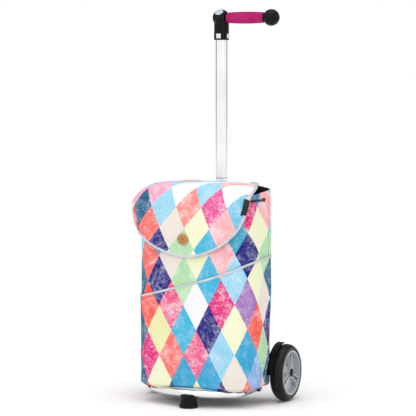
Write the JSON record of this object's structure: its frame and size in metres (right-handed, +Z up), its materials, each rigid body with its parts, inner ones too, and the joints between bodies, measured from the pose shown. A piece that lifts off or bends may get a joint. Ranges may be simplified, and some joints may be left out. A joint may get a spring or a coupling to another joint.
{
  "type": "shopping trolley",
  "caption": "One-handed shopping trolley: column with a swivelling grip, wheels on an axle, folding tray with a foot, and a fabric bag with a round flap.",
  "frame": {"origin": "centre of the footprint box on the floor", "axes": "+Z up, the bag faces -Y, the grip points to +X"},
  "size_m": [0.405, 0.297, 1.0082],
  "materials": {
    "column_aluminium": "satin",
    "joiner_aluminium": "satin",
    "steel": "zinc plated",
    "black_plastic": "satin moulded",
    "nylon": "moulded",
    "badge_plastic": "gloss",
    "light_plastic": "moulded",
    "grip_rubber": "soft",
    "tyre": "matte",
    "rim_plastic": "silver moulded",
    "foot_rubber": "matte",
    "bag_print": "printed polyester",
    "piping": "reflective",
    "board": "matte",
    "cord": "braided",
    "eyelet_metal": "satin",
    "webbing": "woven",
    "label": "woven",
    "button_wood": "waxed"
  },
  "bodies": {
    "frame": {"lower_tube": "column_aluminium", "upper_tube": "column_aluminium", "tube_joiner": "joiner_aluminium", "column_plug": "steel", "swivel_pin": "steel", "pin_collar": "steel", "base_block": "black_plastic", "base_screws": "steel", "axle_tube": "column_aluminium", "axle": "steel", "axle_washers": "nylon", "axle_clips": "steel", "left_guard": "black_plastic", "right_guard": "black_plastic", "left_bracket": "black_plastic", "right_bracket": "black_plastic", "hinge_pins": "steel", "bag_shell": "bag_print", "base_board": "board", "pocket_panel": "bag_print", "pocket_piping": "piping", "drawstring": "cord", "eyelets": "eyelet_metal", "hanger_straps": "webbing", "strap_snaps": "steel", "stud_post": "steel"},
    "head": {"head_housing": "black_plastic", "head_bush": "nylon", "thrust_washer": "nylon", "head_badge": "badge_plastic", "index_windows": "light_plastic", "latch_spring": "steel", "grip_core": "steel", "grip_sleeve": "grip_rubber", "end_ball": "black_plastic", "grip_bolt": "steel"},
    "latch": {"latch_ring": "light_plastic"},
    "left_wheel": {"left_tyre": "tyre", "left_rim": "rim_plastic", "left_bearings": "steel", "left_spacer": "nylon", "left_hub_cap": "black_plastic"},
    "right_wheel": {"right_tyre": "tyre", "right_rim": "rim_plastic", "right_bearings": "steel", "right_spacer": "nylon", "right_hub_cap": "black_plastic"},
    "tray": {"tray_tube": "column_aluminium", "left_tray_end": "black_plastic", "right_tray_end": "black_plastic", "foot_housing": "black_plastic", "foot_pad": "foot_rubber", "foot_screw": "steel"},
    "flap": {"bag_flap": "bag_print", "flap_piping": "piping", "label_tab": "label", "wood_button": "button_wood", "stud_cap": "steel"}
  },
  "joints": [
    {"name": "handle_swivel", "type": "hinge", "parent": "frame", "child": "head", "pos_m": [0, 0.075, 0.95], "axis": [0, 0, 1], "range_deg": [-180, 180]},
    {"name": "latch_press", "type": "slide", "parent": "head", "child": "latch", "axis": [0, 1, 0], "range_m": [0, 0.002], "stiffness_N_per_m": 800, "springref_m": -0.002, "deforming": ["latch_spring"]},
    {"name": "left_wheel_spin", "type": "hinge", "parent": "frame", "child": "left_wheel", "pos_m": [-0.183, 0.075, 0.0735], "axis": [1, 0, 0], "continuous": true},
    {"name": "right_wheel_spin", "type": "hinge", "parent": "frame", "child": "right_wheel", "pos_m": [0.183, 0.075, 0.0735], "axis": [1, 0, 0], "continuous": true},
    {"name": "tray_fold", "type": "hinge", "parent": "frame", "child": "tray", "pos_m": [0, 0.025, 0.0365], "axis": [1, 0, 0], "range_deg": [-88, 0], "deforming": ["bag_shell", "base_board", "pocket_panel", "pocket_piping", "drawstring", "eyelets", "stud_post"]},
    {"name": "flap_lift", "type": "hinge", "parent": "frame", "child": "flap", "pos_m": [0, 0.053, 0.5655], "axis": [-1, 0, 0], "range_deg": [0, 88]}
  ]
}
